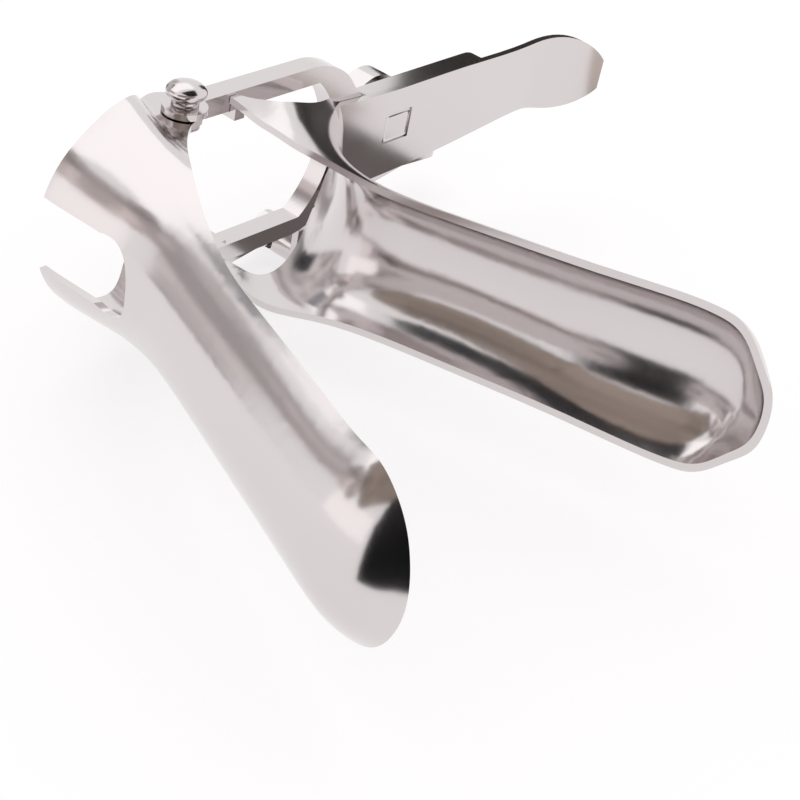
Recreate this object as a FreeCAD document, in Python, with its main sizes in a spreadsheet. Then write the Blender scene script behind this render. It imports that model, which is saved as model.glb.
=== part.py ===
"""Bivalve speculum: two pressed blades, a sliding forked frame and its adjusting screws.

Sizes are in millimetres. Z is the hinge line of the upper blade, X runs down the handle
and the blade tips lie towards -Y.
"""
import math
import os

import FreeCAD
import Part

os.makedirs("parts", exist_ok=True)
doc = FreeCAD.newDocument("Speculum")
sizes = doc.addObject("Spreadsheet::Sheet", "Sizes")

SIZES = {
    "gauge": 1.4,
    "upper_tilt": 20.9,
    "ear_round": 3.5,
    "eye_round": 4.3,
    "ear_half": 17.7,
    "frame_half": 19.2,
    "arm_inner": 15.35,
    "eye_inner": 17.95,
    "frame_rear": 3.8,
    "frame_front": 0.7,
    "plate_rear": 0.8,
    "ring_centre": 23.7,
    "ring_inner": 20.0,
    "tang_half": 8.2,
    "tang_end": 90.3,
    "slot_half": 3.6,
    "slot_start": 54.0,
    "slot_end": 89.0,
    "bolt_place": 62.4,
    "bolt_round": 3.0,
    "neck_long": 8.5,
    "neck_wide": 7.0,
    "pin_round": 2.2,
    "running_gap": 0.05,
    "head_round": 3.85,
    "head_rise": 1.9,
    "head_centre": 21.9,
    "nut_round": 8.6,
    "nut_thick": 5.0,
    "washer_round": 6.8,
    "washer_thick": 1.0,
    "lever_inner": 19.4,
    "lever_thick": 1.6,
    "lever_angle": 8.0,
    "rod_round": 1.8,
    "rod_depth": 26.0,
    "crank_angle": 70.0,
    "crank_length": 12.0,
    "post_place": 42.0,
    "post_height": 9.0,
    "post_round": 3.8,
    "side_nut_round": 4.6,
    "side_nut_thick": 4.5,
}
row = 1
for alias, number in SIZES.items():
    sizes.set("A%d" % row, alias)
    sizes.set("B%d" % row, str(number))
    sizes.setAlias("B%d" % row, alias)
    row += 1
doc.recompute()

V = FreeCAD.Vector
size = SIZES
parts = []


def new_body(name):
    """Start a named body."""
    body = doc.addObject("PartDesign::Body", name)
    body.Label = name
    parts.append(body)
    return body


def new_sketch(body, name, role, curves, offset="0"):
    """Draw closed curves on one of the body's own planes, moved along its normal."""
    sketch = body.newObject("Sketcher::SketchObject", name)
    plane = [item for item in body.Origin.OriginFeatures if item.Role == role][0]
    sketch.AttachmentSupport = [(plane, "")]
    sketch.MapMode = "FlatFace"
    sketch.setExpression("AttachmentOffset.Base.z", offset)
    sketch.addGeometry(curves, False)
    return sketch


def polyline(points):
    """Straight sides from point to point, without the closing side."""
    return [Part.LineSegment(V(a[0], a[1], 0), V(b[0], b[1], 0)) for a, b in zip(points, points[1:])]


def ring(points):
    """A closed run of straight sides."""
    return polyline(points + [points[0]])


def smooth(points):
    """A smooth curve through the points."""
    curve = Part.BSplineCurve()
    curve.interpolate([V(x, y, 0) for x, y in points])
    return curve


def circle(x, y, radius):
    """A full circle in a sketch."""
    return Part.Circle(V(x, y, 0), V(0, 0, 1), radius)


def arc(first, middle, last):
    """An arc through three points."""
    return Part.ArcOfCircle(V(first[0], first[1], 0), V(middle[0], middle[1], 0), V(last[0], last[1], 0))


def pad(body, name, sketch, length, both=False, back=False):
    """Add the sketch, pulled along its normal or to both sides."""
    feature = body.newObject("PartDesign::Pad", name)
    feature.Profile = sketch
    feature.setExpression("Length", length)
    feature.SideType = "Symmetric" if both else "One side"
    feature.Reversed = back
    return feature


def pocket(body, name, sketch, length=None, both=False, back=False):
    """Take the sketch away, through everything when no length is given."""
    feature = body.newObject("PartDesign::Pocket", name)
    feature.Profile = sketch
    feature.Type = "ThroughAll" if length is None else "Length"
    if length is not None:
        feature.setExpression("Length", length)
    feature.SideType = "Symmetric" if both else "One side"
    feature.Reversed = back
    return feature


def loft(body, kind, name, sections):
    """Run a skin through the sections."""
    feature = body.newObject("PartDesign::" + kind, name)
    feature.Profile = sections[0]
    feature.Sections = sections[1:]
    feature.Ruled = False
    return feature


def follow(knots):
    """A smooth run of one size along a blade, asked for by place."""
    curve = Part.BSplineCurve()
    places = [place for place, _ in knots]
    curve.interpolate(Points=[V(place, number, 0) for place, number in knots], Parameters=places)
    return lambda place: curve.value(place).y


def inset(knots, distance):
    """Move an open run of points sideways, to its right."""
    moved = []
    last = len(knots) - 1
    for number, (x, y) in enumerate(knots):
        before = knots[max(number - 1, 0)]
        after = knots[min(number + 1, last)]
        run = (after[0] - before[0], after[1] - before[1])
        length = math.hypot(*run)
        moved.append((x + run[1] / length * distance, y - run[0] / length * distance))
    return moved


ONE_SIDE = [6.7, 13.4, 19.5, 25.1, 28.3, 31.5]
SKIN_STEPS = [-step for step in reversed(ONE_SIDE)] + [0.0] + ONE_SIDE


def arch(half, spring, crown, ear, knee, foot, across):
    """One closed arch: a smooth skin line over the crown, two upright ears and a foot line.

    The skin is half an ellipse between the two springs, then an eased turn to the ear's half
    width at the knee.
    """
    side = [(0.0, crown)]
    for degrees in (66.0, 42.0, 20.0, 0.0):
        angle = math.radians(degrees)
        side.append((half * math.cos(angle), spring + (crown - spring) * math.sin(angle)))
    side.append(((half + ear) / 2.0, (spring + knee) / 2.0))
    side.append((ear, knee))
    skin = [(-x, y) for x, y in reversed(side[1:])] + side
    feet = [(ear, foot), (-ear, foot)]
    rise = V(0, 1, 0)
    if not across:
        skin = [(y, x) for x, y in skin]
        feet = [(y, x) for x, y in feet]
        rise = V(1, 0, 0)
    curve = Part.BSplineCurve()
    curve.interpolate(Points=[V(x, y, 0) for x, y in skin], Parameters=SKIN_STEPS,
                      InitialTangent=rise, FinalTangent=rise * -1)
    return [curve] + polyline([skin[-1]] + feet + [skin[0]])


# Upper blade, drawn with X along the blade, Y across it and Z away from the hinge.
gauge = size["gauge"]
ear_half = size["ear_half"]
UPPER_HALF = [(-20, 21.4), (-12, 21.4), (-5, 21.4), (1, 21.2), (7, 20.6), (14, 19.4), (20, 18.5),
              (26, 18.0), (33, 17.8), (41, 17.7), (60, 17.7), (85, 17.8), (95, 18.6), (101, 20.1),
              (104.2, 19.9), (107, 18.7), (109.3, 16.9), (111.4, 15.0), (113.5, 13.0), (116, 10.5)]
UPPER_CROWN = [(-20, 31.2), (-12, 31.2), (-5, 31.2), (1, 31.1), (6, 30.3), (10, 29.0), (14, 27.3),
               (20, 24.7), (26, 22.7), (33, 21.3), (41, 20.8), (60, 20.7), (85, 20.7), (97, 20.5),
               (101, 20.0), (104, 19.2), (107, 17.8), (109.3, 16.2), (111.4, 14.1), (113, 12.1),
               (114.2, 10.2), (115, 8.6)]
UPPER_SPRING = [(-20, 10.5), (-8, 10.5), (3, 10.5), (9, 10.3), (14, 9.6), (20, 8.2), (26, 6.6),
                (33, 4.8), (41, 3.5), (55, 3.0), (85, 2.9), (95, 2.0), (101, 0.0), (107, -0.8),
                (111.4, -1.0), (115, -2.2)]
UPPER_EAR = [(-20, ear_half), (-8, ear_half), (4, ear_half), (12, ear_half), (20, ear_half),
             (26, 17.8), (33, 17.8), (41, 17.7), (60, 17.7), (85, 17.8), (95, 18.6), (101, 20.1),
             (104.2, 19.9), (107, 18.7), (109.3, 16.9), (111.4, 15.0), (113.5, 13.0), (116, 10.5)]
UPPER_PLACES = (-14.0, -4.0, 6.0, 14.0, 22.0, 31.0, 43.0, 64.0, 85.0, 96.0, 102.0, 107.0, 110.5)


def sections(body, tag, plane, places, runs, drop, foot):
    """The sketches of a blade's outer or inner form, one at each place."""
    half, crown, spring, ear = runs
    found = []
    for number, place in enumerate(places):
        knee = spring(place) - drop
        curves = arch(half(place), spring(place), crown(place), ear(place), knee, foot, plane == "YZ_Plane")
        found.append(new_sketch(body, "%s%02d" % (tag, number), plane, curves, "%.3f" % place))
    return found


upper_outer = [follow(UPPER_HALF), follow(UPPER_CROWN), follow(UPPER_SPRING), follow(UPPER_EAR)]
upper_inner = [follow(inset(UPPER_HALF, gauge)), follow(inset(UPPER_CROWN, gauge)), follow(UPPER_SPRING),
               follow(inset(UPPER_EAR, gauge))]
upper = new_body("upper_blade")
loft(upper, "AdditiveLoft", "UpperOuter",
     sections(upper, "UpperOut", "YZ_Plane", UPPER_PLACES + (114.6,), upper_outer, 5.6, -14.0))
loft(upper, "SubtractiveLoft", "UpperInner",
     sections(upper, "UpperIn", "YZ_Plane", UPPER_PLACES[:-1] + (110.0, 113.0), upper_inner, 5.6, -16.0))
round_ear = size["ear_round"]
rim = [(13.5, 40.0), (11.2, 35.0), (8.7, 30.5), (6.8, 25.5), (4.7, 20.0), (2.0, 15.0), (-0.4, 10.8),
       (-3.2, 8.1), (-6.6, 5.6), (-8.2, 3.2), (-8.0, 0.0), (-6.0, -2.3), (-3.0, -3.4), (0.0, -round_ear)]
edge = [(0.0, -round_ear), (2.2, -2.8), (3.9, -0.6), (6.25, 1.5), (12.5, 4.5), (18.6, 6.6), (25.4, 8.4),
        (32.7, 9.9), (39.2, 10.9), (48.0, 11.8), (60.0, 12.0), (80.0, 11.8), (99.0, 11.8), (107.0, 11.5),
        (111.5, 11.1), (120.0, 10.9)]
contour = [smooth(rim + edge[1:])]
contour += polyline([(120.0, 10.9), (120.0, -30.0), (-60.0, -30.0), (-60.0, 40.0), (13.5, 40.0)])
pocket(upper, "UpperSide", new_sketch(upper, "UpperContour", "XZ_Plane", contour), both=True)
notch_line = polyline([(21.0, 7.2), (-20.0, 7.4), (-20.0, -7.4), (21.0, -7.2)])
notch_line.append(arc((21.0, -7.2), (31.0, 0.0), (21.0, 7.2)))
pocket(upper, "UpperNotch", new_sketch(upper, "UpperNotchLine", "XY_Plane", notch_line, "14"), back=True)
pin_hole = new_sketch(upper, "UpperPinHole", "XZ_Plane", [circle(0, 0, size["pin_round"] + size["running_gap"])])
pocket(upper, "UpperPin", pin_hole, both=True)
turn = math.radians(size["upper_tilt"])
upper_matrix = FreeCAD.Matrix(
    -math.sin(turn), 0.0, -math.cos(turn), 0.0,
    -math.cos(turn), 0.0, math.sin(turn), 0.0,
    0.0, 1.0, 0.0, 0.0,
    0.0, 0.0, 0.0, 1.0)
upper.Placement = FreeCAD.Placement(upper_matrix)

# Lower blade with its collar and handle, drawn in place. Sections stand across the Y axis.
LOWER_HALF = [(-3, 19.9), (2, 19.9), (8, 19.8), (14, 19.3), (20, 18.4), (26, 17.3), (34, 16.4),
              (45, 16.2), (63, 16.9), (80, 18.0), (90, 18.7), (96, 19.1), (99.5, 19.2), (102, 18.2),
              (104.6, 16.1), (106.8, 13.9), (109.2, 11.0), (110.9, 8.9), (113.0, 6.4)]
LOWER_CROWN = [(-3, 49.3), (0.8, 44.5), (4.3, 40.3), (7.4, 36.9), (10.4, 33.5), (13.4, 30.2), (17.3, 26.7),
               (21.5, 24.2), (26, 23.0), (31.7, 22.9), (40, 25.2), (60, 31.2), (90, 40.2), (96, 41.8),
               (100, 42.1), (103.5, 41.3), (106.3, 39.7), (108.4, 37.7), (109.9, 35.7), (110.8, 34.0),
               (111.6, 32.2)]
LOWER_SPRING = [(-3, 25.0), (0, 22.9), (4, 20.4), (10, 16.4), (16, 12.9), (22, 10.6), (30, 9.8),
                (38, 10.6), (45, 12.1), (63, 16.8), (80, 20.8), (90, 22.9), (96, 24.0), (100, 24.4),
                (104.5, 26.2), (109, 27.6), (113, 26.8)]
LOWER_EAR = [(-3, 18.6), (4, 18.6), (10, 18.5), (18, 18.0), (26, 17.0), (34, 16.4), (45, 16.2),
             (63, 16.9), (80, 18.0), (90, 18.7), (96, 19.1), (99.5, 19.2), (102, 18.2), (104.6, 16.1),
             (106.8, 13.9), (109.2, 11.0), (110.9, 8.9), (113.0, 6.4)]
LOWER_PLACES = (0.8, 4.0, 8.0, 13.0, 18.5, 25.0, 33.0, 45.0, 65.0, 84.0, 95.0, 101.0, 105.5)
lower_outer = [follow(LOWER_HALF), follow(inset(LOWER_CROWN, -gauge)), follow(LOWER_SPRING), follow(LOWER_EAR)]
lower_inner = [follow(inset(LOWER_HALF, gauge)), follow(LOWER_CROWN), follow(LOWER_SPRING),
               follow(inset(LOWER_EAR, gauge))]
lower = new_body("lower_blade")
loft(lower, "AdditiveLoft", "LowerOuter",
     sections(lower, "LowerOut", "XZ_Plane", LOWER_PLACES + (109.2, 112.5), lower_outer, 8.0, -8.0))
plate = size["plate_rear"]
thick = 1.5
handle_side = [
    arc((110.0, -plate), (120.6, -plate - 2.1), (130.0, -plate - 7.8)),
    arc((129.1, -plate - 9.0), (120.0, -plate - 3.5), (110.0, -plate - thick)),
]
handle_side += polyline([(130.0, -plate - 7.8), (129.1, -plate - 9.0)])
handle_side += polyline([(110.0, -plate - thick), (36.0, -plate - thick), (36.0, -plate), (110.0, -plate)])
pad(lower, "HandleStrip", new_sketch(lower, "HandleSide", "XY_Plane", handle_side), "60", both=True)
near = [(36.0, 10.2), (54.0, 9.0), (84.0, 9.0), (108.0, 9.0), (117.0, 9.4), (124.0, 8.0), (128.6, 4.4),
        (130.1, 0.0)]
far = [(36.0, -10.6), (60.0, -11.2), (87.0, -9.5), (104.0, -7.9), (111.0, -7.8), (117.0, -8.8),
       (124.0, -8.1), (128.6, -4.4)]
handle_outline = [smooth(near + list(reversed(far)))]
handle_outline += polyline([(36.0, -10.6), (36.0, -60), (160, -60), (160, 60), (36.0, 60), (36.0, 10.2)])
trim = new_sketch(lower, "HandleOutline", "XZ_Plane", handle_outline, "-1")
pocket(lower, "HandleTrim", trim, "13.5", back=True)
loft(lower, "SubtractiveLoft", "LowerInner",
     sections(lower, "LowerIn", "XZ_Plane", (-1.5,) + LOWER_PLACES[1:] + (108.5, 111.2), lower_inner, 8.0, -10.0))
side = [(10.9, -0.8), (10.4, -4.0), (9.5, -9.0), (9.0, -14.0), (9.05, -19.5), (10.7, -25.0),
        (14.0, -36.0), (20.1, -56.0), (29.2, -86.0), (32.3, -97.0), (33.4, -102.0), (33.9, -106.5),
        (34.0, -125.0)]
scoop = [(12.6, -0.8), (14.6, -5.0), (16.4, -8.6), (20.5, -10.2), (25.0, -9.6), (30.0, -7.6),
         (35.0, -5.0), (40.0, -2.6), (43.6, -0.8)]
side_line = [smooth(side)]
side_line += polyline([(34.0, -125.0), (-40.0, -125.0), (-40.0, 6.0), (10.9, 6.0), (10.9, -0.8)])
pocket(lower, "LowerSide", new_sketch(lower, "LowerContour", "XY_Plane", side_line), both=True)
scoop_line = [smooth(scoop)] + polyline([(43.6, -0.8), (43.6, 6.0), (12.6, 6.0), (12.6, -0.8)])
pocket(lower, "LowerScoop", new_sketch(lower, "LowerScoopLine", "XY_Plane", scoop_line), both=True)
long_half = size["neck_long"] / 2.0
wide_half = size["neck_wide"] / 2.0
bolt_x = size["bolt_place"]
square = ring([(bolt_x - long_half, -wide_half), (bolt_x + long_half, -wide_half),
               (bolt_x + long_half, wide_half), (bolt_x - long_half, wide_half)])
pocket(lower, "BoltSquare", new_sketch(lower, "BoltSquareLine", "XZ_Plane", square), both=True)

# Forked frame: two arms with eyes, a ring and a slotted tang.
frame = new_body("frame")
half = size["frame_half"]
inner = size["arm_inner"]
eye_in = size["eye_inner"]
centre = size["ring_centre"]
ring_in = size["ring_inner"]
tang = size["tang_half"]
tang_x = size["tang_end"]
meet_in = centre + math.sqrt(ring_in ** 2 - inner ** 2)
bend_x = centre + 9.5
shoulder = [(bend_x, half), (bend_x + 6.0, half - 0.9), (bend_x + 12.6, half - 4.8), (bend_x + 17.2, tang + 1.1),
            (bend_x + 21.0, tang)]
step_x = size["eye_round"] + 0.6
fork = polyline([(0, eye_in), (0, half), (bend_x, half)])
fork.append(smooth(shoulder))
fork += polyline([(bend_x + 21.0, tang), (tang_x, tang)])
fork.append(arc((tang_x, tang), (tang_x + tang, 0), (tang_x, -tang)))
fork += polyline([(tang_x, -tang), (bend_x + 21.0, -tang)])
fork.append(smooth([(x, -y) for x, y in reversed(shoulder)]))
fork += polyline([(bend_x, -half), (0, -half), (0, -eye_in), (step_x, -eye_in), (step_x, -inner),
                  (meet_in, -inner)])
fork.append(arc((meet_in, -inner), (centre + ring_in, 0), (meet_in, inner)))
fork += polyline([(meet_in, inner), (step_x, inner), (step_x, eye_in), (0, eye_in)])
pad(frame, "ForkPad", new_sketch(frame, "ForkLine", "XZ_Plane", fork, "-Sizes.frame_rear"),
    "Sizes.frame_rear + Sizes.frame_front")
for name, offset in (("NearEye", "Sizes.eye_inner"), ("FarEye", "-Sizes.frame_half")):
    eye = new_sketch(frame, name + "Line", "XY_Plane", [circle(0, 0, size["eye_round"])], offset)
    pad(frame, name, eye, "Sizes.frame_half - Sizes.eye_inner")
hole = new_sketch(frame, "EyeHole", "XY_Plane", [circle(0, 0, size["pin_round"] + size["running_gap"])])
pocket(frame, "EyeBore", hole, both=True)
slot_half = size["slot_half"]
slot_a = size["slot_start"] + slot_half
slot_b = size["slot_end"] - slot_half
slot = polyline([(slot_a, slot_half), (slot_b, slot_half)])
slot.append(arc((slot_b, slot_half), (slot_b + slot_half, 0), (slot_b, -slot_half)))
slot += polyline([(slot_b, -slot_half), (slot_a, -slot_half)])
slot.append(arc((slot_a, -slot_half), (slot_a - slot_half, 0), (slot_a, slot_half)))
pocket(frame, "TangSlot", new_sketch(frame, "TangSlotLine", "XZ_Plane", slot), both=True)


def cylinder(name, radius, height, place, axis):
    """A named cylinder with bound sizes, its foot at place and its axis along axis."""
    item = doc.addObject("Part::Cylinder", name)
    item.setExpression("Radius", radius)
    item.setExpression("Height", height)
    item.Placement = FreeCAD.Placement(V(*place), FreeCAD.Rotation(V(0, 0, 1), V(*axis)))
    return item


def block(name, length, width, height, place):
    """A named block with bound sizes, its low corner at place."""
    item = doc.addObject("Part::Box", name)
    item.setExpression("Length", length)
    item.setExpression("Width", width)
    item.setExpression("Height", height)
    item.Placement = FreeCAD.Placement(V(*place), FreeCAD.Rotation())
    return item


def fuse(name, items):
    """Join the items into one sub-part."""
    item = doc.addObject("Part::MultiFuse", name)
    item.Label = name
    item.Shapes = items
    return item


def cut(name, base, tool):
    """Take the tool from the base."""
    item = doc.addObject("Part::Cut", name)
    item.Label = name
    item.Base = base
    item.Tool = tool
    return item


def keep(item, name):
    """Name a finished sub-part and list it for export."""
    item.Label = name
    parts.append(item)
    return item


# Pivot screws. The near one ends in a ball, the far one carries the lever.
neck_from = size["frame_half"] + size["running_gap"]
ear_in = ear_half - gauge
head_at = size["head_centre"]
head_out = size["head_round"]
head_up = size["head_rise"]
pin_out = size["pin_round"]
screw = new_body("near_pivot_screw")
dome = [(0.42, 0.97), (0.72, 0.78), (0.92, 0.46), (1.0, 0.08), (0.97, -0.28), (0.84, -0.6)]
screw_points = [(0.0, head_at + head_up)]
screw_points += [(head_out * out, head_at + head_up * up) for out, up in dome]
screw_points += [(2.6, head_at - head_up * 0.78), (2.6, neck_from), (pin_out, neck_from), (pin_out, ear_in),
                 (pin_out + 1.0, ear_in), (pin_out + 1.0, ear_in - 1.2), (0.0, ear_in - 1.2)]
screw_line = ring(screw_points)
screw_sketch = new_sketch(screw, "ScrewLine", "XZ_Plane", screw_line)
turned = screw.newObject("PartDesign::Revolution", "ScrewTurned")
turned.Profile = screw_sketch
turned.ReferenceAxis = (screw_sketch, ["V_Axis"])
turned.Angle = 360.0
lever_out = size["lever_inner"] + size["lever_thick"]
far_pin = cylinder("FarPin", "Sizes.pin_round", "Sizes.lever_inner - %.3f" % (ear_in - 0.6),
                   (0, 0, -size["lever_inner"]), (0, 0, 1))
far_square = block("FarSquare", "3", "3", "Sizes.lever_thick", (-1.5, -1.5, -lever_out))
far_head = cylinder("FarHead", "3.2", "1.4", (0, 0, -lever_out - 1.4), (0, 0, 1))
far_foot = cylinder("FarFoot", "Sizes.pin_round + 1.0", "1.2", (0, 0, -ear_in), (0, 0, 1))
keep(fuse("far_pivot_stud", [far_pin, far_square, far_head, far_foot]), "far_pivot_stud")

# Guide lugs that stand on the collar's ears between the arms.
for name, side_sign in (("near_guide_lug", 1), ("far_guide_lug", -1)):
    top = inner - 0.12
    low = min(side_sign * top, side_sign * (top - 1.2))
    base = block(name + "_base", "3.8", "Sizes.plate_rear + Sizes.frame_rear", "1.2", (11.3, -plate, low))
    reach_out = 18.6 - gauge - 0.15 - (top - 1.2)
    foot_low = min(side_sign * (top - 1.2), side_sign * (top - 1.2 + reach_out))
    foot = block(name + "_foot", "2.6", "1.4", "%.3f" % reach_out, (11.3, -plate - 1.4, foot_low))
    keep(fuse(name, [base, foot]), name)

# Height bolt with a square neck, its washer and thumb nut.
neck = block("BoltNeck", "Sizes.neck_long", "1.5", "Sizes.neck_wide",
             (bolt_x - long_half, -plate - thick, -wide_half))
shank = cylinder("BoltShank", "Sizes.bolt_round", "14.5", (bolt_x, -plate, 0), (0, 1, 0))
keep(fuse("height_bolt", [neck, shank]), "height_bolt")
washer_low = size["frame_rear"] + 0.05
washer_ring = cylinder("WasherRing", "Sizes.washer_round", "Sizes.washer_thick",
                       (bolt_x, washer_low, 0), (0, 1, 0))
washer_hole = cylinder("WasherHole", "Sizes.bolt_round + Sizes.running_gap", "3",
                       (bolt_x, washer_low - 1, 0), (0, 1, 0))
keep(cut("height_washer", washer_ring, washer_hole), "height_washer")
nut_low = washer_low + size["washer_thick"] + 0.05
nut_disc = cylinder("NutDisc", "Sizes.nut_round", "Sizes.nut_thick", (bolt_x, nut_low, 0), (0, 1, 0))
nut_bore = cylinder("NutBore", "Sizes.bolt_round + Sizes.running_gap", "12",
                    (bolt_x, nut_low - 1, 0), (0, 1, 0))
keep(cut("height_nut", nut_disc, nut_bore), "height_nut")

# Thumb lever on the far side: boss, crank for the rod and a long arm to the thumb pad.
lever = new_body("thumb_lever")
crank = math.radians(size["crank_angle"] - size["lever_angle"])
crank_x = size["crank_length"] * math.cos(crank)
crank_y = size["crank_length"] * math.sin(crank)
hub = 4.4
boss = 3.2
away = 84.0
pad_at = 93.0
pad_half = 4.6
hub_turn = math.atan2(crank_y, crank_x) + math.pi / 2.0
left_hub = (hub * math.cos(hub_turn), hub * math.sin(hub_turn))
left_boss = (crank_x + boss * math.cos(hub_turn), crank_y + boss * math.sin(hub_turn))
right_boss = (crank_x - boss * math.cos(hub_turn), crank_y - boss * math.sin(hub_turn))
far_boss = (crank_x + boss * math.sin(hub_turn), crank_y - boss * math.cos(hub_turn))
lever_line = [
    arc(left_hub, (-hub * 0.8, -hub * 0.6), (0.0, -hub)),
    arc((pad_at, -pad_half), (pad_at + pad_half, 0.0), (pad_at, pad_half)),
    arc(left_boss, far_boss, right_boss),
]
lever_line += polyline([(0.0, -hub), (14.0, -2.5), (away, -2.5), (pad_at, -pad_half)])
lever_line += polyline([(pad_at, pad_half), (away, 2.5), (17.0, 2.5), right_boss])
lever_line += polyline([left_boss, left_hub])
pad(lever, "LeverPlate", new_sketch(lever, "LeverLine", "XY_Plane", lever_line, "-%.3f" % lever_out),
    "Sizes.lever_thick")
square_line = ring([(-1.55, -1.55), (1.55, -1.55), (1.55, 1.55), (-1.55, 1.55)])
lever_square = new_sketch(lever, "LeverSquare", "XY_Plane", square_line)
pocket(lever, "LeverSquareHole", lever_square, both=True)
lever_pin = new_sketch(lever, "LeverPinHole", "XY_Plane", [circle(crank_x, crank_y, 1.5 + size["running_gap"])])
pocket(lever, "LeverPinBore", lever_pin, both=True)
lever.Placement = FreeCAD.Placement(V(0, 0, 0), FreeCAD.Rotation(V(0, 0, 1), size["lever_angle"]))

# Side rod with its crank pin, swivel post on a bracket, thumb nut and end stop.
pivot = (size["crank_length"] * math.cos(math.radians(size["crank_angle"])),
         size["crank_length"] * math.sin(math.radians(size["crank_angle"])))
deep = size["rod_depth"]
crank_pin = cylinder("CrankPin", "1.5", "%.3f" % (deep + 2.4 - size["lever_inner"]),
                     (pivot[0], pivot[1], -deep - 2.4), (0, 0, 1))
crank_head = cylinder("CrankHead", "2.4", "0.8", (pivot[0], pivot[1], -deep - 3.2), (0, 0, 1))
keep(fuse("crank_pin", [crank_pin, crank_head]), "crank_pin")
run = math.hypot(size["post_place"] - pivot[0], size["post_height"] - pivot[1])
way = ((size["post_place"] - pivot[0]) / run, (size["post_height"] - pivot[1]) / run, 0)
rod_bar = cylinder("RodBar", "Sizes.rod_round", "58", (pivot[0], pivot[1], -deep), way)
rod_eye = cylinder("RodEye", "3.4", "3.6", (pivot[0], pivot[1], -deep - 1.8), (0, 0, 1))
rod_form = fuse("RodForm", [rod_bar, rod_eye])
rod_hole = cylinder("RodHole", "1.5 + Sizes.running_gap", "12", (pivot[0], pivot[1], -deep - 6), (0, 0, 1))
keep(cut("side_rod", rod_form, rod_hole), "side_rod")
tip_at = [pivot[0] + way[0] * 58.05, pivot[1] + way[1] * 58.05]
keep(cylinder("rod_stop", "2.6", "1.6", (tip_at[0], tip_at[1], -deep), way), "rod_stop")
bracket_form = block("BracketForm", "9", "1.6", "%.3f" % (deep + 4.4 - size["frame_half"]),
                     (size["post_place"] - 4.5, -size["frame_front"], -deep - 4.4))
keep(bracket_form, "rod_bracket")
post_low = 1.6 - size["frame_front"]
post_form = cylinder("PostForm", "Sizes.post_round", "%.3f" % (size["post_height"] + 4.2 - post_low),
                     (size["post_place"], post_low, -deep), (0, 1, 0))
post_hole = cylinder("PostHole", "Sizes.rod_round + 0.8", "20",
                     (size["post_place"] - 10 * way[0], size["post_height"] - 10 * way[1], -deep), way)
keep(cut("swivel_post", post_form, post_hole), "swivel_post")
nut_from = 4.1
side_form = cylinder("SideNutForm", "Sizes.side_nut_round", "Sizes.side_nut_thick",
                     (size["post_place"] + nut_from * way[0], size["post_height"] + nut_from * way[1], -deep), way)
side_bore = cylinder("SideNutBore", "Sizes.rod_round + 0.85", "30",
                     (size["post_place"] - 5 * way[0], size["post_height"] - 5 * way[1], -deep), way)
keep(cut("side_nut", side_form, side_bore), "side_nut")

doc.recompute()
bad = []
for item in doc.Objects:
    if "Invalid" in item.State or "Error" in item.State:
        bad.append(item.Name + " " + str(item.State))
for item in parts:
    if item.Shape.isNull() or not item.Shape.isValid():
        bad.append(item.Label + " shape")
if bad:
    raise RuntimeError("; ".join(bad))
for item in parts:
    item.Shape.exportStep("parts/%s.step" % item.Label)
    box = item.Shape.BoundBox
    limits = [round(v, 1) for v in (box.XMin, box.XMax, box.YMin, box.YMax, box.ZMin, box.ZMax)]
    print(item.Label, len(item.Shape.Solids), round(item.Shape.Volume, 1), limits)
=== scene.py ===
"""Looks of a bivalve speculum in polished steel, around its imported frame.

Lengths are in metres. Z is the hinge line of the upper blade, X runs down the handle and the
blade tips lie towards -Y. The frame's pieces keep their places and meshes.
"""
import math

import bpy
import numpy as np

from mathutils import Matrix, Vector


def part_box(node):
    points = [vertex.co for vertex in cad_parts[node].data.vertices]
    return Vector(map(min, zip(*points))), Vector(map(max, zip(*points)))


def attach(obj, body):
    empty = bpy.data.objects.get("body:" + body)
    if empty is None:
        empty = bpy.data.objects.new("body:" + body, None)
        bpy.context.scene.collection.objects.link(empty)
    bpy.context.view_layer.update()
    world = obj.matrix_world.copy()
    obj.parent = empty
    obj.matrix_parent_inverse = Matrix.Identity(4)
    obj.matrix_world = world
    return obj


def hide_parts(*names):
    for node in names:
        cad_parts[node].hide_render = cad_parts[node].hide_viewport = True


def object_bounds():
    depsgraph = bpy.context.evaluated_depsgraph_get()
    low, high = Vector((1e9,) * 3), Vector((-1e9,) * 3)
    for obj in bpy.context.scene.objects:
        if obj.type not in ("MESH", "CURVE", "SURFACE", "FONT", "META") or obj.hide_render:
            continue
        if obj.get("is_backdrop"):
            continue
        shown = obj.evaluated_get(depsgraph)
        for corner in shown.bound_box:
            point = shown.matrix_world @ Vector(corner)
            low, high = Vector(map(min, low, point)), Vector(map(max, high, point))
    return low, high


bl_info = {
    "name": "Bivalve Speculum",
    "version": (1, 0, 0),
    "blender": (4, 5, 0),
    "location": "View3D > Sidebar > Speculum",
    "description": "Polished steel, stage and camera for a bivalve speculum",
    "category": "Object",
}

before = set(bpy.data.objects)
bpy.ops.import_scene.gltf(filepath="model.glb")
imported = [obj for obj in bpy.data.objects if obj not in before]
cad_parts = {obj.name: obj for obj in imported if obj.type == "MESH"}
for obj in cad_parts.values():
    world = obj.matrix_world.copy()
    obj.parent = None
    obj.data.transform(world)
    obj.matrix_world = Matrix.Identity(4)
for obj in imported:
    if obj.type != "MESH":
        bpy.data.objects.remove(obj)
MM = 0.001

# Each finish: how far its fine marks are drawn out along X, Y and Z, where less than one is
# longer, and how strongly they show.

# Pressed sheet, polished along the blade: broad soft reflections with faint long marks.
BLADE_FINISH = ((1.0, 0.12, 1.0), 0.12)
# Flat bar, ground and polished down its length: the reflections look a little more drawn.
BAR_FINISH = ((0.12, 1.0, 1.0), 0.15)
# Turned and polished: small clean highlights with hardly a mark.
TURNED_FINISH = ((1.0, 1.0, 1.0), 0.10)
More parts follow.
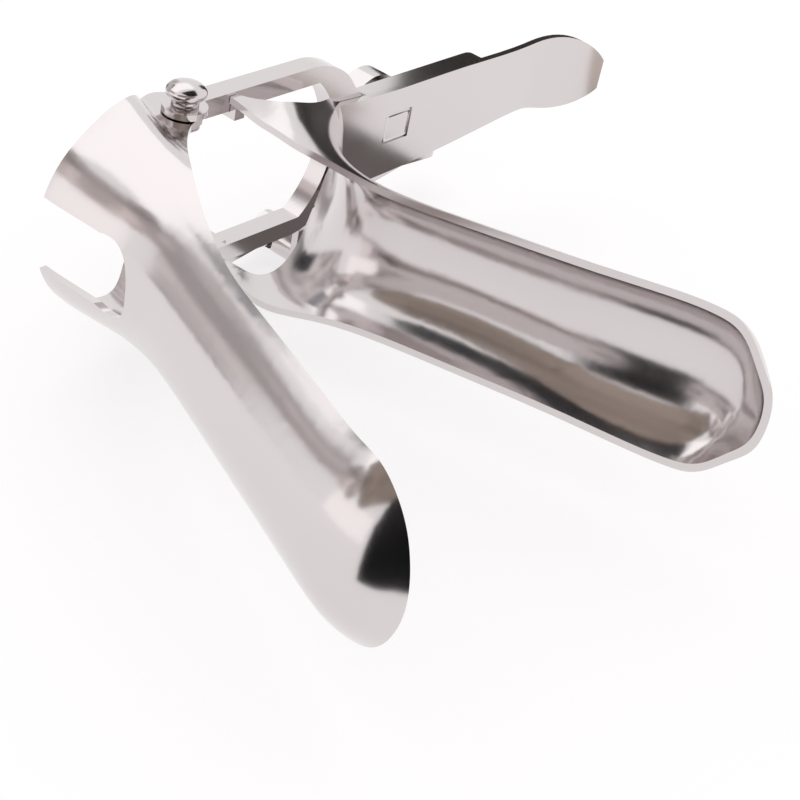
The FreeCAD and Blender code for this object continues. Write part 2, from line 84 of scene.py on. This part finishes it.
# The screw's head is the brightest spot, so its dome is the smoothest.
SCREW_FINISH = ((1.0, 1.0, 1.0), 0.05)
# The bolt's face lies flush in the handle and shows as a bright bevelled outline.
BOLT_FINISH = ((1.0, 1.0, 1.0), 0.08)

# Patches of stronger and weaker polish, about 11 mm wide, in noise cells a metre.
PATCH_SCALE = 90.0
# Roughness in the patches, as shares of the polish roughness.
PATCH_POLISH = (0.8, 1.25)
# Depth of the fine marks.
MARK_DEPTH = 0.02 * MM

# The near pivot screw below its head, in millimetres.
FLANGE_RADIUS = 3.2
FLANGE_THICK = 1.2
NECK_RADIUS = 2.2
NECK_TOP = 4.1
COLLAR_RADIUS = 2.6
TURNED_EDGE = 0.1
POLE_RADIUS = 0.05
# The dome of its head, from under its widest ring nearly to the pole, in degrees. A power below
# one makes it fuller than an ellipse, and the collar meets it at a share of its height.
DOME_FROM = -50.0
DOME_TO = 89.0
DOME_RINGS = 36
DOME_POWER = 0.9
WAIST_SHARE = 0.89
SCREW_FACETS = 96

# The height bolt, in millimetres. Its face is dished inside a narrow lip, which catches light.
SQUARE_POWER = 12
SQUARE_LENGTH = 1.5
DISH_DEPTH = 0.16
LIP_FRONT = 0.04
LIP_BACK = 0.06
SHANK_CHAMFER = 0.4
BOLT_FACETS = 128
# Where the dish and the lip start, in bevel widths from the edge of the square.
DISH_INSET = 2.2
LIP_INSET = 1.1

# Height that stands for the floor in the flags' corners.
ON_FLOOR = -1.0
# Gap that keeps the lowest flags off the paper.
FLAG_GAP = 0.5 * MM
# Soft clouds of painted reflection on the flags, about 60 mm wide, in noise cells a metre.
REFLECTION_CLOUD = 16.0
# The clouds' darkest and lightest tones: place on the noise, and share of the flag's colour.
CLOUD_TONES = ((0.36, 0.62), (0.64, 1.22))

# Each flag: name, colour, low corner, first edge and second edge. They are glowing cards that only
# the steel's reflections show, and they paint dark and pale reflections into the steel where the
# cards round a studio table would stand.
PAINTED_REFLECTION_CARDS = (
    # Painted reflection: the dark patch near the upper blade's tip.
    ("Black side flag", "#1E1E20",
     (-0.1069, -0.0948, ON_FLOOR), (0.0308, -0.0846, 0.0), (0.0, 0.0, 0.094)),
    ("Tan top flag", "#94877C",
     (-0.16, -0.26, 0.085), (0.140, 0.0, 0.012), (0.04, 0.13, 0.0)),
    ("Tan near flag", "#9C9087",
     (-0.12, -0.13, 0.090), (0.169, 0.0, 0.006), (-0.145, 0.14, 0.0)),
    ("Black top flag", "#222428",
     (-0.12, -0.30, 0.30), (0.28, 0.0, 0.0), (0.0, 0.32, 0.0)),
    ("Grey rear flag", "#D6D0D0",
     (-0.20, 0.30, ON_FLOOR), (0.42, 0.0, 0.0), (0.0, 0.0, 0.25)),
    # Painted reflection: a dark strip along the edge of the rear softbox's reflection.
    ("Dark rear band", "#86868A",
     (-0.065, 0.298, 0.215), (0.165, 0.0, 0.0), (0.0, 0.0, 0.075)),
    ("Pale left flag", "#DDD3D0",
     (-0.20, 0.30, 0.125), (-0.17, -0.14, 0.0), (0.0, 0.0, 0.080)),
    ("Grey left flag", "#AFA8A6",
     (-0.20, 0.30, 0.205), (-0.17, -0.14, 0.0), (0.0, 0.0, 0.070)),
    ("Dark rear flag", "#303236",
     (0.025, 0.25, ON_FLOOR), (0.070, 0.0, 0.0), (0.0, 0.0, 0.070)),
    ("Dark right flag", "#3A3836",
     (0.185, 0.090, ON_FLOOR), (0.024, -0.055, 0.0), (0.0, 0.0, 0.170)),
    # Painted shadow: a grey card on the floor between the handle and the lower blade, which the
    # steel reflects as shade near the hinge.
    ("Painted floor shadow card", "#6E6967",
     (0.035, -0.060, ON_FLOOR), (0.068, 0.0, 0.0), (0.0, 0.058, 0.0)),
    ("Tan floor card", "#C6BBB2",
     (0.096, -0.105, ON_FLOOR), (0.018, 0.0, 0.0), (0.0, 0.055, 0.0)),
)

# The floor runs this far from the middle on each side.
FLOOR_REACH = 3.0
# What the camera and the steel see of the paper: a glow, and a grey that the light brings up to
# white outside the object's shadow.
SEEN_PAPER = "#A8A6A6"
SEEN_GLOW = 0.665
# The world's light on the paper. The camera and the steel see the world as plain white instead.
SOFT_LIGHT = "#FBF9FA"
SOFT_STRENGTH = 0.9
WHITE = "#FFFFFF"

# Each lamp: name, place, width, height, power in watts and colour.
LAMPS = (
    ("Rear softbox", (0.05, 0.42, 0.64), 1.0, 0.45, 0.58, (1.0, 0.985, 0.98)),
    ("Left softbox", (-0.47, 0.16, 0.085), 0.46, 0.20, 0.075, (1.0, 0.90, 0.88)),
)
LAMP_AIM = (0.0, -0.02, 0.0)

# Width of the camera's sensor, in millimetres, and the nearest distance that it draws.
SENSOR_WIDTH = 36.0
NEAREST = 0.01


def linear(code):
    """A hex sRGB colour as linear red, green, blue and alpha."""
    channels = [int(code[place:place + 2], 16) / 255.0 for place in (1, 3, 5)]
    return [c / 12.92 if c <= 0.04045 else ((c + 0.055) / 1.055) ** 2.4 for c in channels] + [1.0]


def add_node(tree, kind, place=(0, 0), **settings):
    """Add one shader node, setting its inputs and its own properties by name."""
    node = tree.nodes.new(kind)
    node.location = place
    for key, setting in settings.items():
        if key in node.inputs:
            node.inputs[key].default_value = setting
        else:
            setattr(node, key, setting)
    return node


class SteelSettings(bpy.types.PropertyGroup):
    """Finish of the polished steel."""
    colour: bpy.props.FloatVectorProperty(
        name="Steel colour", description="Tint of the bare metal", subtype="COLOR", size=4,
        min=0.0, max=1.0, default=linear("#D8D2D2"))
    roughness: bpy.props.FloatProperty(
        name="Polish roughness", description="Blur of the reflections", default=0.155,
        min=0.0, max=1.0, subtype="FACTOR")
    # Real polishing marks are far finer. They are drawn this coarse so that they show.
    grain: bpy.props.FloatProperty(
        name="Mark spacing", description="Distance between the fine polishing marks",
        default=0.9 * MM, min=0.0001, max=0.01, unit="LENGTH")


class ScrewSettings(bpy.types.PropertyGroup):
    """Head of the near pivot screw."""
    head: bpy.props.FloatProperty(
        name="Head radius", description="Radius of the domed head", default=3.85 * MM,
        min=0.001, unit="LENGTH")
    rise: bpy.props.FloatProperty(
        name="Head rise", description="Half height of the domed head", default=1.86 * MM,
        min=0.0005, unit="LENGTH")


class BoltSettings(bpy.types.PropertyGroup):
    """Square neck and shank of the height bolt."""
    bevel: bpy.props.FloatProperty(
        name="Neck bevel", description="Bevel round the square face", default=0.42 * MM,
        min=0.0001, unit="LENGTH")
    shank: bpy.props.FloatProperty(
        name="Shank radius", description="Radius of the round shank", default=3.0 * MM,
        min=0.001, unit="LENGTH")


class StageSettings(bpy.types.PropertyGroup):
    """Camera and floor."""
    place: bpy.props.FloatVectorProperty(
        name="Camera place", description="Where the camera stands", subtype="TRANSLATION",
        size=3, default=(-0.201131, -0.194016, 0.155490))
    azimuth: bpy.props.FloatProperty(
        name="Azimuth", description="Turn of the camera about Z", subtype="ANGLE",
        default=math.radians(-56.294))
    elevation: bpy.props.FloatProperty(
        name="Elevation", description="Height angle of the camera", subtype="ANGLE",
        default=math.radians(34.629))
    roll: bpy.props.FloatProperty(
        name="Roll", description="Turn of the camera about its own axis", subtype="ANGLE",
        default=math.radians(12.401))
    lens: bpy.props.FloatProperty(
        name="Lens", description="Focal length", unit="CAMERA", default=75.05, min=10.0)
    paper: bpy.props.FloatVectorProperty(
        name="Floor colour", description="Pale paper under the object", subtype="COLOR", size=4,
        min=0.0, max=1.0, default=linear("#FBFAFA"))


def new_material(name):
    """An empty node material, its node tree and its output node."""
    material = bpy.data.materials.new(name)
    material.use_nodes = True
    tree = material.node_tree
    tree.nodes.clear()
    return material, tree, add_node(tree, "ShaderNodeOutputMaterial", (600, 0))


def steel(name, settings, finish):
    """Polished steel: a metal whose blur wanders in wide patches, with fine marks drawn on it."""
    stretch, strength = finish
    material, tree, output = new_material(name)
    place = add_node(tree, "ShaderNodeTexCoord", (-900, 0))
    drawn = add_node(tree, "ShaderNodeMapping", (-700, -200), Scale=stretch)
    marks = add_node(tree, "ShaderNodeTexNoise", (-500, -200), Scale=1.0 / settings.grain,
                     Detail=3.0, Roughness=0.6)
    patches = add_node(tree, "ShaderNodeTexNoise", (-500, 150), Scale=PATCH_SCALE,
                       Detail=3.0, Roughness=0.55)
    polish = add_node(tree, "ShaderNodeMapRange", (-250, 150))
    polish.inputs["To Min"].default_value = settings.roughness * PATCH_POLISH[0]
    polish.inputs["To Max"].default_value = settings.roughness * PATCH_POLISH[1]
    bump = add_node(tree, "ShaderNodeBump", (50, -200), Strength=strength, Distance=MARK_DEPTH)
    shader = add_node(tree, "ShaderNodeBsdfPrincipled", (300, 0), Metallic=1.0)
    shader.inputs["Base Color"].default_value = settings.colour
    tree.links.new(place.outputs["Object"], drawn.inputs["Vector"])
    tree.links.new(drawn.outputs["Vector"], marks.inputs["Vector"])
    tree.links.new(place.outputs["Object"], patches.inputs["Vector"])
    tree.links.new(patches.outputs["Fac"], polish.inputs["Value"])
    tree.links.new(polish.outputs["Result"], shader.inputs["Roughness"])
    tree.links.new(marks.outputs["Fac"], bump.inputs["Height"])
    tree.links.new(bump.outputs["Normal"], shader.inputs["Normal"])
    tree.links.new(shader.outputs["BSDF"], output.inputs["Surface"])
    return material


class SPECULUM_OT_steel(bpy.types.Operator):
    """Give every piece of the frame its steel"""
    bl_idname = "speculum.steel"
    bl_label = "Steel"

    def execute(self, context):
        settings = context.scene.speculum_steel
        blade = steel("Polished stainless steel, blades", settings, BLADE_FINISH)
        bar = steel("Polished stainless steel, bars", settings, BAR_FINISH)
        turned = steel("Turned stainless steel", settings, TURNED_FINISH)
        finishes = {"upper_blade": blade, "lower_blade": blade,
                    "frame": bar, "thumb_lever": bar, "rod_bracket": bar}
        for name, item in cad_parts.items():
            chosen = finishes.get(name, turned)
            for slot in item.material_slots:
                slot.material = chosen
            if not item.material_slots:
                item.data.materials.append(chosen)
        return {"FINISHED"}


def turned_piece(name, profile, facets):
    """A closed turned shape round Z: each radius times the cosine and sine of even turns."""
    radius, height = np.array(profile).T
    angle = np.linspace(0.0, 2.0 * math.pi, facets, endpoint=False)
    rows = np.stack([np.outer(radius, np.cos(angle)), np.outer(radius, np.sin(angle)),
                     np.repeat(height[:, None], facets, axis=1)], axis=-1)
    count = len(radius)
    step = np.arange(facets)
    after = (step + 1) % facets
    level = np.arange(count - 1)[:, None] * facets
    quads = np.stack([level + step, level + after, level + facets + after,
                      level + facets + step], axis=-1)
    ends = [tuple(reversed(range(facets))), tuple(range((count - 1) * facets, count * facets))]
    mesh = bpy.data.meshes.new(name)
    mesh.from_pydata((rows.reshape(-1, 3) * MM).tolist(), [],
                     quads.reshape(-1, 4).tolist() + ends)
    mesh.polygons.foreach_set("use_smooth", [True] * len(mesh.polygons))
    piece = bpy.data.objects.new(name, mesh)
    bpy.context.scene.collection.objects.link(piece)
    return piece


class SPECULUM_OT_screw(bpy.types.Operator):
    """Make the near pivot screw with its smooth domed head"""
    bl_idname = "speculum.screw"
    bl_label = "Domed pivot screw"

    def execute(self, context):
        low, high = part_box("near_pivot_screw")
        settings = context.scene.speculum_screw
        foot = low[2] / MM
        top = high[2] / MM
        head = settings.head / MM
        rise = settings.rise / MM
        flange_top = foot + FLANGE_THICK
        neck_top = foot + NECK_TOP
        shaft = [(POLE_RADIUS, foot), (FLANGE_RADIUS - TURNED_EDGE, foot),
                 (FLANGE_RADIUS, foot + TURNED_EDGE), (FLANGE_RADIUS, flange_top - TURNED_EDGE),
                 (FLANGE_RADIUS - TURNED_EDGE, flange_top), (NECK_RADIUS, flange_top),
                 (NECK_RADIUS, neck_top), (COLLAR_RADIUS, neck_top + TURNED_EDGE),
                 (COLLAR_RADIUS, top - 2.0 * rise * WAIST_SHARE)]
        # The dome's radius is the head's times a power of the cosine of an angle that climbs it,
        # and its height is the rise times the sine of that angle.
        climb = np.radians(np.linspace(DOME_FROM, DOME_TO, DOME_RINGS))
        dome = np.stack([head * np.cos(climb) ** DOME_POWER, top - rise + rise * np.sin(climb)],
                        axis=1)
        piece = turned_piece("domed_pivot_screw", shaft + dome.tolist(), SCREW_FACETS)
        piece.data.materials.append(steel("Turned stainless steel, screw head",
                                          context.scene.speculum_steel, SCREW_FINISH))
        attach(piece, "upper_body")
        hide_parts("near_pivot_screw")
        return {"FINISHED"}


def ring_mesh(name, rows):
    """A closed skin through rings of points: one ring a row, with both ends capped."""
    count, facets = rows.shape[:2]
    step = np.arange(facets)
    after = (step + 1) % facets
    level = np.arange(count - 1)[:, None] * facets
    quads = np.stack([level + step, level + facets + step, level + facets + after,
                      level + after], axis=-1)
    ends = [tuple(range(facets)), tuple(reversed(range((count - 1) * facets, count * facets)))]
    mesh = bpy.data.meshes.new(name)
    mesh.from_pydata((rows.reshape(-1, 3) * MM).tolist(), [],
                     quads.reshape(-1, 4).tolist() + ends)
    return mesh


class SPECULUM_OT_bolt(bpy.types.Operator):
    """Make the height bolt with its bevelled square neck, the square mark on the handle"""
    bl_idname = "speculum.bolt"
    bl_label = "Height bolt"

    def execute(self, context):
        low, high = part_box("height_bolt")
        settings = context.scene.speculum_bolt
        front = low[1] / MM
        end = high[1] / MM
        middle = np.array([(low[0] + high[0]) / 2.0, (low[2] + high[2]) / 2.0]) / MM
        halves = np.array([high[0] - low[0], high[2] - low[2]]) / 2.0 / MM
        bevel = settings.bevel / MM
        shank = settings.shank / MM
        neck_end = front + SQUARE_LENGTH
        angle = np.linspace(0.0, 2.0 * math.pi, BOLT_FACETS, endpoint=False)
        unit = np.stack([np.cos(angle), np.sin(angle)], axis=1)
        # A superellipse: each direction is divided by the root of the sum of its parts' powers,
        # which gives a square with softly rounded corners.
        power = SQUARE_POWER
        square = unit / (np.abs(unit) ** power).sum(axis=1, keepdims=True) ** (1.0 / power)
        rings = [(square * (halves - bevel * DISH_INSET), front + DISH_DEPTH),
                 (square * (halves - bevel * LIP_INSET), front + LIP_FRONT),
                 (square * (halves - bevel), front + LIP_BACK),
                 (square * halves, front + bevel),
                 (square * halves, neck_end),
                 (unit * shank, neck_end),
                 (unit * shank, end - SHANK_CHAMFER),
                 (unit * (shank - SHANK_CHAMFER), end)]
        rows = np.stack([np.column_stack([middle[0] + flat[:, 0], np.full(len(angle), depth),
                                          middle[1] + flat[:, 1]]) for flat, depth in rings])
        mesh = ring_mesh("square_neck_bolt", rows)
        piece = bpy.data.objects.new("square_neck_bolt", mesh)
        context.scene.collection.objects.link(piece)
        mesh.materials.append(steel("Turned stainless steel, bolt",
                                    context.scene.speculum_steel, BOLT_FINISH))
        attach(piece, "handle_body")
        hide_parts("height_bolt")
        return {"FINISHED"}


def seen_rays(tree):
    """One for the rays that show the background: camera, glossy and transmission."""
    rays = add_node(tree, "ShaderNodeLightPath", (-900, 400))
    seen = add_node(tree, "ShaderNodeMath", (-650, 400), operation="MAXIMUM")
    seen_all = add_node(tree, "ShaderNodeMath", (-450, 400), operation="MAXIMUM")
    tree.links.new(rays.outputs["Is Camera Ray"], seen.inputs[0])
    tree.links.new(rays.outputs["Is Glossy Ray"], seen.inputs[1])
    tree.links.new(seen.outputs[0], seen_all.inputs[0])
    tree.links.new(rays.outputs["Is Transmission Ray"], seen_all.inputs[1])
    return seen_all.outputs[0]


def flat_card(name, corners, material):
    """A flat four-sided card on the stage."""
    mesh = bpy.data.meshes.new(name)
    mesh.from_pydata([tuple(corner) for corner in corners], [], [(0, 1, 2, 3)])
    mesh.materials.append(material)
    card = bpy.data.objects.new(name, mesh)
    bpy.context.scene.collection.objects.link(card)
    card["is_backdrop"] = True
    return card


def painted_reflection_material(name, code):
    """Glowing card of painted reflection, which shows in the steel as a flat tone with soft clouds.
    """
    colour = linear(code)[:3]
    material, tree, output = new_material(name)
    place = add_node(tree, "ShaderNodeTexCoord", (-800, 0))
    cloud = add_node(tree, "ShaderNodeTexNoise", (-600, 0), Scale=REFLECTION_CLOUD, Detail=1.0)
    blend = add_node(tree, "ShaderNodeValToRGB", (-350, 0))
    for stop, (position, share) in zip(blend.color_ramp.elements, CLOUD_TONES):
        stop.position = position
        stop.color = [min(channel * share, 1.0) for channel in colour] + [1.0]
    shade = add_node(tree, "ShaderNodeEmission", (0, 0), Strength=1.0)
    tree.links.new(place.outputs["Object"], cloud.inputs["Vector"])
    tree.links.new(cloud.outputs["Fac"], blend.inputs["Fac"])
    tree.links.new(blend.outputs["Color"], shade.inputs["Color"])
    tree.links.new(shade.outputs["Emission"], output.inputs["Surface"])
    return material


def flag(name, code, corner, across, up):
    """A studio flag of painted reflection: a glowing card from a corner along two edges, seen only
    in the steel's reflections.
    """
    first = np.array(corner)
    wide = np.array(across)
    tall = np.array(up)
    corners = (first, first + wide, first + wide + tall, first + tall)
    card = flat_card(name, corners, painted_reflection_material(name, code))
    card.visible_camera = False
    card.visible_diffuse = False
    card.visible_shadow = False
    card.visible_transmission = False


def paper_material(paper_colour):
    """White matt paper, which shows a white floor that keeps the object's shadow."""
    material, tree, output = new_material("White paper")
    paper = add_node(tree, "ShaderNodeBsdfDiffuse", (-200, 0), Color=paper_colour)
    faint = add_node(tree, "ShaderNodeBsdfDiffuse", (-200, -150), Color=linear(SEEN_PAPER))
    glow = add_node(tree, "ShaderNodeEmission", (-200, -300), Color=linear(WHITE),
                    Strength=SEEN_GLOW)
    seen = add_node(tree, "ShaderNodeAddShader", (0, -200))
    pick = add_node(tree, "ShaderNodeMixShader", (250, 0))
    tree.links.new(faint.outputs["BSDF"], seen.inputs[0])
    tree.links.new(glow.outputs["Emission"], seen.inputs[1])
    tree.links.new(seen_rays(tree), pick.inputs["Fac"])
    tree.links.new(paper.outputs["BSDF"], pick.inputs[1])
    tree.links.new(seen.outputs["Shader"], pick.inputs[2])
    tree.links.new(pick.outputs["Shader"], output.inputs["Surface"])
    return material


def studio_world():
    """A world that lights the paper softly and is seen as white."""
    world = bpy.data.worlds.new("Soft studio")
    world.use_nodes = True
    tree = world.node_tree
    tree.nodes.clear()
    output = add_node(tree, "ShaderNodeOutputWorld", (600, 0))
    soft = add_node(tree, "ShaderNodeBackground", (0, 0), Color=linear(SOFT_LIGHT),
                    Strength=SOFT_STRENGTH)
    white = add_node(tree, "ShaderNodeBackground", (0, -200), Color=linear(WHITE), Strength=1.0)
    pick = add_node(tree, "ShaderNodeMixShader", (300, 0))
    tree.links.new(seen_rays(tree), pick.inputs["Fac"])
    tree.links.new(soft.outputs["Background"], pick.inputs[1])
    tree.links.new(white.outputs["Background"], pick.inputs[2])
    tree.links.new(pick.outputs["Shader"], output.inputs["Surface"])
    return world


def area_lamp(name, place, width, height, power, colour):
    """A rectangular lamp aimed at the object."""
    data = bpy.data.lights.new(name, "AREA")
    data.shape = "RECTANGLE"
    data.size = width
    data.size_y = height
    data.energy = power
    data.color = colour
    lamp = bpy.data.objects.new(name, data)
    bpy.context.scene.collection.objects.link(lamp)
    lamp.location = place
    lamp.rotation_euler = (Vector(LAMP_AIM) - Vector(place)).to_track_quat("-Z", "Y").to_euler()


def camera_axes(azimuth, elevation, roll):
    """Right, up and back directions of the camera."""
    level = math.cos(elevation)
    back = np.array([math.sin(azimuth) * level, -math.cos(azimuth) * level, math.sin(elevation)])
    right = np.cross(-back, [0.0, 0.0, 1.0])
    right /= np.linalg.norm(right)
    up = np.cross(right, -back)
    rolled_right = right * math.cos(roll) + up * math.sin(roll)
    rolled_up = up * math.cos(roll) - right * math.sin(roll)
    return rolled_right, rolled_up, back


def photo_camera(settings):
    """The camera at the photograph's place and angle."""
    data = bpy.data.cameras.new("Camera")
    data.sensor_width = SENSOR_WIDTH
    data.lens = settings.lens
    data.clip_start = NEAREST
    camera = bpy.data.objects.new("Camera", data)
    bpy.context.scene.collection.objects.link(camera)
    axes = camera_axes(settings.azimuth, settings.elevation, settings.roll)
    matrix = Matrix.Identity(4)
    for column, direction in enumerate(axes + (settings.place,)):
        for row in range(3):
            matrix[row][column] = direction[row]
    camera.matrix_world = matrix
    return camera


class SPECULUM_OT_stage(bpy.types.Operator):
    """Set the floor, the light, the world and the camera"""
    bl_idname = "speculum.stage"
    bl_label = "Stage"

    def execute(self, context):
        scene = context.scene
        settings = scene.speculum_stage
        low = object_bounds()[0]
        far = FLOOR_REACH
        corners = ((-far, -far, low.z), (far, -far, low.z), (far, far, low.z), (-far, far, low.z))
        flat_card("Paper floor", corners, paper_material(settings.paper))
        scene.world = studio_world()
        for lamp in LAMPS:
            area_lamp(*lamp)
        # Glowing cards of painted reflection and a painted floor shadow, seen only in the steel.
        base = low.z + FLAG_GAP
        for name, code, corner, across, up in PAINTED_REFLECTION_CARDS:
            flag(name, code, (corner[0], corner[1], max(corner[2], base)), across, up)
        scene.camera = photo_camera(settings)
        scene.view_settings.view_transform = "Standard"
        return {"FINISHED"}


class SPECULUM_PT_panel(bpy.types.Panel):
    """Lists the steps that dress the speculum"""
    bl_label = "Speculum"
    bl_idname = "SPECULUM_PT_panel"
    bl_space_type = "VIEW_3D"
    bl_region_type = "UI"
    bl_category = "Speculum"

    def draw(self, context):
        for step in OPERATORS:
            self.layout.operator(step.bl_idname)


OPERATORS = (SPECULUM_OT_steel, SPECULUM_OT_screw, SPECULUM_OT_bolt, SPECULUM_OT_stage)
SETTINGS = (SteelSettings, ScrewSettings, BoltSettings, StageSettings)
CLASSES = SETTINGS + OPERATORS + (SPECULUM_PT_panel,)


def register():
    """Add the classes and their settings."""
    for item in CLASSES:
        bpy.utils.register_class(item)
    bpy.types.Scene.speculum_steel = bpy.props.PointerProperty(type=SteelSettings)
    bpy.types.Scene.speculum_screw = bpy.props.PointerProperty(type=ScrewSettings)
    bpy.types.Scene.speculum_bolt = bpy.props.PointerProperty(type=BoltSettings)
    bpy.types.Scene.speculum_stage = bpy.props.PointerProperty(type=StageSettings)


def unregister():
    """Remove the settings and the classes."""
    del bpy.types.Scene.speculum_stage
    del bpy.types.Scene.speculum_bolt
    del bpy.types.Scene.speculum_screw
    del bpy.types.Scene.speculum_steel
    for item in reversed(CLASSES):
        bpy.utils.unregister_class(item)


def main():
    """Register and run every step."""
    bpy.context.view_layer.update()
    register()
    bpy.ops.speculum.steel()
    bpy.ops.speculum.screw()
    bpy.ops.speculum.bolt()
    bpy.ops.speculum.stage()


if __name__ == "__main__":
    main()
